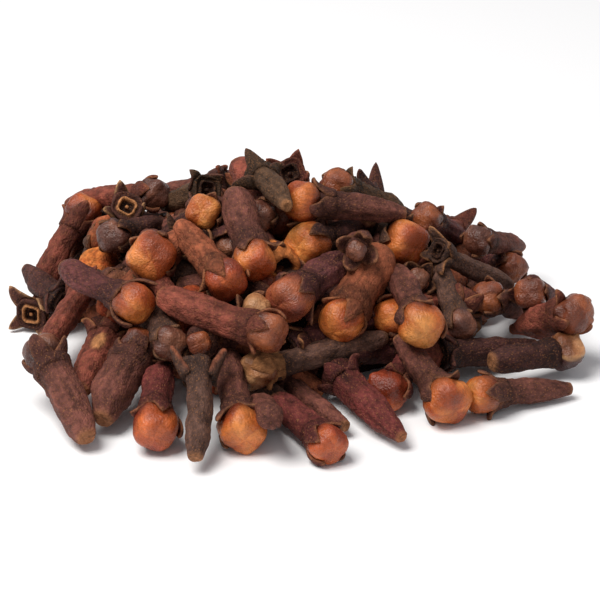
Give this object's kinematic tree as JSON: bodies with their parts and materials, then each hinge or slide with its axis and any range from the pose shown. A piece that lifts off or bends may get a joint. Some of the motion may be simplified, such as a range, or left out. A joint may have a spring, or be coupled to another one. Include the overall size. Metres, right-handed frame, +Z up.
{
  "type": "heap of whole cloves",
  "caption": "Loose heap of whole dried cloves lying as poured on a flat surface, budded heads and four-lobed stems pointing every way.",
  "frame": {"origin": "middle of the heap's footprint, on the surface it lies on", "axes": "+Z up; +X along the heap's width, to the right as the picture shows it; +Y away from the picture's viewer"},
  "size_m": [0.0688, 0.0662, 0.0225],
  "materials": {
    "dried_clove": "dry, finely wrinkled, matt"
  },
  "bodies": {
    "root": {"clove_heap": "dried_clove"}
  },
  "joints": []
}
